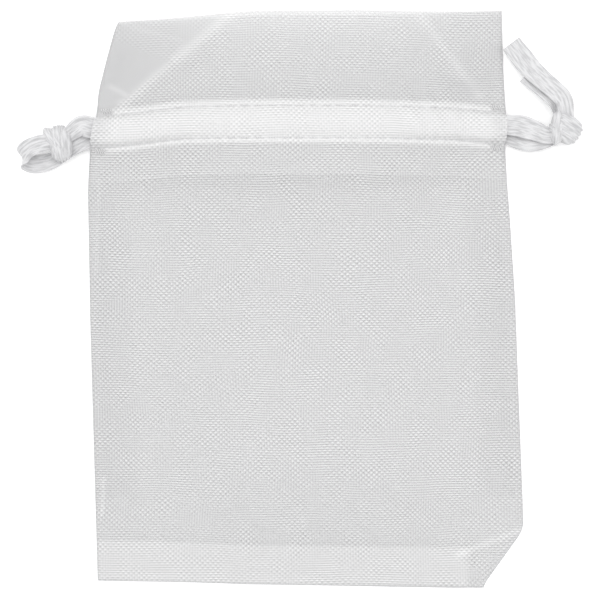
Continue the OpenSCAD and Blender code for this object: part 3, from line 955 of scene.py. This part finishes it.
def ribbon_surface(centre, aside, width, thick, crumple, seed):
    """A flat ribbon carried along its centre line. Its section is a thin rounded slot, and lengthwise folds
    move both faces together by crumple x sin. Width and crumple are given at each place along it."""
    tangent = np.gradient(centre, axis=0)
    tangent /= np.linalg.norm(tangent, axis=1, keepdims=True)
    aside = aside - (aside * tangent).sum(1, keepdims=True) * tangent
    aside /= np.linalg.norm(aside, axis=1, keepdims=True)
    normal = np.cross(tangent, aside)
    a = np.sin(np.linspace(-np.pi / 2, np.pi / 2, FACE_POINTS))
    round_edge = (1 - a ** 8) ** 0.5
    section_a = np.concatenate([a, a[::-1][1:-1]])
    section_n = np.concatenate([round_edge, -round_edge[::-1][1:-1]])
    along = np.concatenate([[0], np.cumsum(np.linalg.norm(np.diff(centre, axis=0), axis=1))])
    s = along[:, None]
    fold = np.sin(section_a[None, :] * 5.0 + seed + 0.9 * np.sin(s / 2.1 + seed))
    fold = fold + 0.5 * np.sin(section_a[None, :] * 13.0 - s / 1.7 + 2 * seed)
    lift = section_n[None, :] * thick / 2 + crumple[:, None] * fold
    points = (
        centre[:, None, :]
        + aside[:, None, :] * (section_a[None, :, None] * width[:, None, None] / 2)
        + normal[:, None, :] * lift[:, :, None]
    )
    uv = np.stack(np.broadcast_arrays(s / DM, section_a[None, :] * width[:, None] / (2 * DM)), -1)
    return points, uv, float(along[-1])


def ribbon_piece(name, centre, aside, width, thick, crumple, seed):
    """The ribbon's mesh, closed at both cut ends."""
    points, uv, length = ribbon_surface(centre, aside, width, thick, crumple, seed)
    rings, sides = points.shape[:2]
    quads = grid_faces(rings, sides, closed_rows=True)
    half = (sides + 2) // 2
    k = np.arange(1, half - 1)
    first = np.stack([k, (sides - k) % sides, np.where(k + 1 < half - 1, sides - k - 1, half - 1), k + 1], -1)
    first = first[first[:, 2] != first[:, 3]]
    tips = np.array([[0, sides - 1, 1], [half - 2, half, half - 1]])
    last = (rings - 1) * sides
    ends = np.vstack([first, (first + last)[:, ::-1]])
    quads = np.vstack([quads, ends])
    caps = np.vstack([tips, (tips + last)[:, ::-1]])
    piece = mesh_from(name, points, quads, white_satin(), uv.reshape(-1, 2), triangles=caps)
    fix_outside(piece)
    return piece, length


def fix_outside(piece):
    """Turns every face of a closed mesh outwards."""
    mesh = bmesh.new()
    mesh.from_mesh(piece.data)
    bmesh.ops.recalc_face_normals(mesh, faces=mesh.faces)
    mesh.to_mesh(piece.data)
    mesh.free()


# Where each knot grips the ribbon
LEFT_TIE = (-43.8, 27.7)
RIGHT_TIE = (46.4, 30.4)
# Thickness of the ribbon, and how far each run in the channel reaches from the middle, in how many steps.
RIBBON_T = 0.24
RUN_REACH = 28.35
RUN_STEPS = 60


def loose_ribbon(name, route, knot, seed):
    """A loose stretch of ribbon along its route, drawn narrow and crumpled where the knot grips it."""
    rows = spline(np.array(route) * np.array([1 / MM, 1 / MM, 1 / MM, 1, 1, 1]), 8)
    centre, aside = rows[:, :3], rows[:, 3:]
    near = np.exp(-((np.linalg.norm(centre[:, :2] - np.array(knot)[None, :2], axis=1) / 4.2) ** 2))
    puffed = 0.16 * bump(np.abs(centre[:, 0]) - 38.8, 2.6)
    width = setting("ribbon_width") / MM * (1 - 0.22 * near + puffed)
    crumple = 0.035 + 0.11 * near + 0.35 * puffed
    piece, length = ribbon_piece(name, centre, aside, width, RIBBON_T, crumple, seed)
    return piece, length, centre


def run_pieces(layer):
    """Ribbon held in the channel, in two halves, following the tunnel."""
    for side, word in SIDES:
        x = np.linspace(0, side * RUN_REACH, RUN_STEPS)
        y = CHANNEL_MID + droop(x)
        if layer == "front":
            z = front_height(x, y) + slack(x, y) - CLOTH / 2 - LAYER_GAP - TUNNEL_H / 2
        else:
            z = np.full_like(x, CLOTH + LAYER_GAP + TUNNEL_H / 2)
        centre = np.stack([x, y, z], -1)
        aside = np.tile([0.0, 1.0, 0.0], (RUN_STEPS, 1))
        width = np.full(RUN_STEPS, setting("ribbon_width") / MM)
        crumple = np.full(RUN_STEPS, 0.03)
        piece, _ = ribbon_piece(f"{layer}_ribbon_{word}", centre, aside, width, RIBBON_T, crumple, 1.0 + side)
        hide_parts(f"{layer}_ribbon_run")
        gather(piece)


# ---------------------------------------------------------------- knots


def wrap_surface(size, pleat_count, twist, rows=44, cols=72):
    """A band of ribbon pulled tight round a bundle. Round the local X axis it is a rounded square whose radius
    closes at both ends as (1 - |x|^3.2)^0.42; pleats run round it and drift along it with the twist."""
    x = np.sin(np.linspace(-1.5, 1.5, rows))[:, None]
    angle = (2 * np.pi * np.arange(cols) / cols)[None, :]
    radius = np.clip(1 - np.abs(x) ** 3.2, 0, 1) ** 0.42
    pleat = np.cos(2 * np.pi * (x * pleat_count / 2 + twist * angle / (2 * np.pi)) + 0.7 * np.sin(angle))
    radius = radius * (1 + 0.055 * pleat + 0.05 * np.cos(2 * angle + 2.0 * x))
    square = (np.abs(np.cos(angle)) ** 3 + np.abs(np.sin(angle)) ** 3) ** (-1 / 3)
    points = np.stack([
        np.broadcast_to(x * size[0] / 2, radius.shape),
        radius * square * np.cos(angle) * size[1] / 2,
        radius * square * np.sin(angle) * size[2] / 2,
    ], -1)
    uv = np.stack(np.broadcast_arrays(angle * size[1] / 2 / DM, x * size[0] / (2 * DM)), -1)
    return points, uv


def turned(points, degrees, tilt=0.0):
    """Points turned about Z, after a tilt about Y."""
    a, b = math.radians(degrees), math.radians(tilt)
    about_y = np.array([[math.cos(b), 0, math.sin(b)], [0, 1, 0], [-math.sin(b), 0, math.cos(b)]])
    about_z = np.array([[math.cos(a), -math.sin(a), 0], [math.sin(a), math.cos(a), 0], [0, 0, 1]])
    return points @ (about_z @ about_y).T


def knot_piece(name, node, body, centre, bands):
    """A knot of several tight bands of ribbon; each band is size, turn, tilt, offset, pleats, twist."""
    all_points, all_quads, all_uv, triangles, start = [], [], [], [], 0
    for size, turn, tilt, offset, count, twist in bands:
        points, uv = wrap_surface(size, count, twist)
        rows, cols = points.shape[:2]
        points = turned(points.reshape(-1, 3), turn, tilt) + np.array(centre) + np.array(offset)
        all_points.append(points)
        all_uv.append(uv.reshape(-1, 2))
        all_quads.append(grid_faces(rows, cols, closed_rows=True) + start)
        k = np.arange(1, cols - 1)
        zero = np.zeros_like(k)
        triangles.append(np.stack([zero, k, k + 1], -1) + start)
        triangles.append(np.stack([zero, k + 1, k], -1) + start + (rows - 1) * cols)
        start += rows * cols
    points, quads, uv = np.vstack(all_points), np.vstack(all_quads), np.vstack(all_uv)
    piece = mesh_from(name, points, quads, white_satin(), uv, triangles=np.vstack(triangles))
    fix_outside(piece)
    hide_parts(node)
    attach(piece, body)
    return piece


# ---------------------------------------------------------------- settings and operators


class OrganzaPouchSettings(PropertyGroup):
    cloth_thickness: FloatProperty(
        name="Cloth thickness", description="Thickness of one layer of organza",
        default=0.0001, min=0.00005, max=0.0002, subtype="DISTANCE", unit="LENGTH",
    )
    cloth_colour: FloatVectorProperty(
        name="Cloth colour", description="Colour of the organza's threads",
        default=(0.865, 0.865, 0.87), size=3, subtype="COLOR",
    )
    ribbon_width: FloatProperty(
        name="Ribbon width", description="Width of the drawstring ribbon",
        default=0.0034, min=0.0028, max=0.004, subtype="DISTANCE", unit="LENGTH",
    )
    light_strength: FloatProperty(
        name="Light", description="Strength of the soft light over the pouch", default=1.0, min=0.1, max=4.0,
    )


# Camera: lens and sensor in millimetres; then, in metres, the width it takes in on the plane it is set for, the
# height of that plane, and the point below it
LENS, SENSOR = 120, 36
FIELD, SEEN_PLANE = 0.1071, 0.002
AIM = (-0.00107, -0.00018)


class POUCH_OT_stage(Operator):
    """Lays the pale floor, hangs the soft lights and sets the camera straight above"""
    bl_idname = "pouch.stage"
    bl_label = "Stage and camera"

    def execute(self, context):
        scene = context.scene
        half = 3.0
        corners = [(-half, -half, 0), (half, -half, 0), (half, half, 0), (-half, half, 0)]
        floor = bpy.data.meshes.new("floor")
        floor.from_pydata(corners, [], [(0, 1, 2, 3)])
        obj = bpy.data.objects.new("floor", floor)
        scene.collection.objects.link(obj)
        floor.materials.append(material_named("pale_floor", bare_floor))
        obj.location.z = -0.00002
        world = scene.world or bpy.data.worlds.new("World")
        scene.world = world
        world.use_nodes = True
        sky = world.node_tree.nodes["Background"].inputs
        sky["Color"].default_value = (1, 1, 1, 1)
        sky["Strength"].default_value = 0.90
        for name, place, watts, wide in (
            ("soft_light_over", (-0.25, 0.35, 0.9), 3.3, 0.9),
            ("soft_light_side", (0.7, -0.2, 0.6), 1.0, 0.6),
        ):
            light = bpy.data.lights.new(name, "AREA")
            light.energy = watts * setting("light_strength")
            light.size = wide
            lamp = bpy.data.objects.new(name, light)
            lamp.location = place
            direction = -np.array(place)
            lamp.rotation_euler = (
                math.acos(-direction[2] / np.linalg.norm(direction)), 0,
                math.atan2(direction[1], direction[0]) - math.pi / 2,
            )
            scene.collection.objects.link(lamp)
        camera = bpy.data.cameras.new("camera")
        camera.lens = LENS
        camera.sensor_width = SENSOR
        height = FIELD * LENS / SENSOR
        camera.clip_start = 0.01
        seat = bpy.data.objects.new("camera", camera)
        seat.location = (*AIM, height + SEEN_PLANE)
        scene.collection.objects.link(seat)
        scene.camera = seat
        scene.view_settings.view_transform = "Standard"
        scene.cycles.transparent_max_bounces = 32
        return {"FINISHED"}


class POUCH_OT_ribbon(Operator):
    """Builds the drawstring ribbon: the loop, the two tails and the runs in the channel"""
    bl_idname = "pouch.ribbon"
    bl_label = "Drawstring ribbon"

    def execute(self, context):
        width = setting("ribbon_width")
        for name, node, word, route, knot, seed, exit_at, far_end in (
            ("left_loop", "left_pull_loop", "left", LEFT_LOOP_ROUTE, LEFT_TIE, 0.4,
             (-0.0382, 0.0300, 0.0014), "object"),
            ("long_tail", "right_long_tail", "right", LONG_TAIL_ROUTE, RIGHT_TIE, 1.7,
             (0.0355, 0.0308, 0.0021), "bare"),
            ("short_tail", "right_short_tail", "right", SHORT_TAIL_ROUTE, RIGHT_TIE, 2.9,
             (0.0355, 0.0301, 0.0006), "bare"),
        ):
            piece, length, centre = loose_ribbon(name, route, knot, seed)
            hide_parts(node)
            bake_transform(piece)
        for layer in LAYERS:
            run_pieces(layer)
        return {"FINISHED"}


class POUCH_OT_knots(Operator):
    """Builds the knots that tie off the loop and the two tails"""
    bl_idname = "pouch.knots"
    bl_label = "Knots"

    def execute(self, context):
        knot_piece("left_knot", "left_pull_knot", "left_pull", (-43.8, 27.7, 2.1), (
            ((4.1, 6.1, 3.9), 8, 0, (0, 0, 0), 6, 0.6),
            ((2.2, 5.2, 4.1), 34, 0, (-1.2, 0.5, 0.0), 2, 1.0),
        ))
        knot_piece("right_knot", "right_tail_knot", "right_pull", (46.3, 30.3, 2.1), (
            ((5.1, 5.4, 3.9), 58, 0, (0.0, 0.1, 0), 6, 1.0),
            ((2.3, 5.9, 4.0), -6, 0, (-1.5, 0.25, 0.05), 2, 0.0),
        ))
        return {"FINISHED"}


class POUCH_OT_panels(Operator):
    """Builds the front and back panels of organza"""
    bl_idname = "pouch.panels"
    bl_label = "Panels"

    def execute(self, context):
        for layer in LAYERS:
            panel_pieces(layer)
        return {"FINISHED"}


class POUCH_OT_channel(Operator):
    """Builds the strips that make the drawstring channel"""
    bl_idname = "pouch.channel"
    bl_label = "Channel strips"

    def execute(self, context):
        for layer in LAYERS:
            strip_pieces(layer)
        return {"FINISHED"}


class POUCH_OT_allowances(Operator):
    """Builds the turned-in edges inside the side and bottom seams"""
    bl_idname = "pouch.allowances"
    bl_label = "Seam allowances"

    def execute(self, context):
        for side, word in SIDES:
            low = BACK_LOW[1] + 0.16 * (BACK_HIGH[1] - BACK_LOW[1])
            allowance_piece(side, word, "body", low, 19.5)
            allowance_piece(side, word, "header", HEADER_FOOT, 45.4)
        bottom_allowance()
        return {"FINISHED"}


class POUCH_OT_stitching(Operator):
    """Sews the channel rows, the seams and the bartacks"""
    bl_idname = "pouch.stitching"
    bl_label = "Stitching"

    def execute(self, context):
        for layer in LAYERS:
            channel_row(layer, "upper", UPPER_ROW)
            channel_row(layer, "lower", LOWER_ROW)
        for side, word in SIDES:
            seam_row(side, word, "body", -34.0, 18.5)
            seam_row(side, word, "header", HEADER_FOOT + 1, 44.5)
            bartack_piece(side, word)
        bottom_row()
        return {"FINISHED"}


OPERATORS = (
    POUCH_OT_stage, POUCH_OT_knots, POUCH_OT_ribbon, POUCH_OT_panels, POUCH_OT_channel, POUCH_OT_allowances,
    POUCH_OT_stitching,
)


class POUCH_PT_sidebar(Panel):
    """Sizes, colours and the steps that build the pouch"""
    bl_idname = "POUCH_PT_sidebar"
    bl_label = "Organza Pouch"
    bl_space_type = "VIEW_3D"
    bl_region_type = "UI"
    bl_category = "Pouch"

    def draw(self, context):
        settings = context.scene.organza_pouch
        for name in ("cloth_thickness", "cloth_colour", "ribbon_width", "light_strength"):
            self.layout.prop(settings, name)
        for operator in OPERATORS:
            self.layout.operator(operator.bl_idname)


CLASSES = (OrganzaPouchSettings, *OPERATORS, POUCH_PT_sidebar)


def register():
    for cls in CLASSES:
        bpy.utils.register_class(cls)
    bpy.types.Scene.organza_pouch = PointerProperty(type=OrganzaPouchSettings)


def unregister():
    del bpy.types.Scene.organza_pouch
    for cls in reversed(CLASSES):
        bpy.utils.unregister_class(cls)


def main():
    """Registers the add-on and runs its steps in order."""
    register()
    bpy.ops.pouch.stage()
    bpy.ops.pouch.knots()
    bpy.ops.pouch.ribbon()
    bpy.ops.pouch.panels()
    bpy.ops.pouch.channel()
    bpy.ops.pouch.allowances()
    bpy.ops.pouch.stitching()


if __name__ == "__main__":
    main()
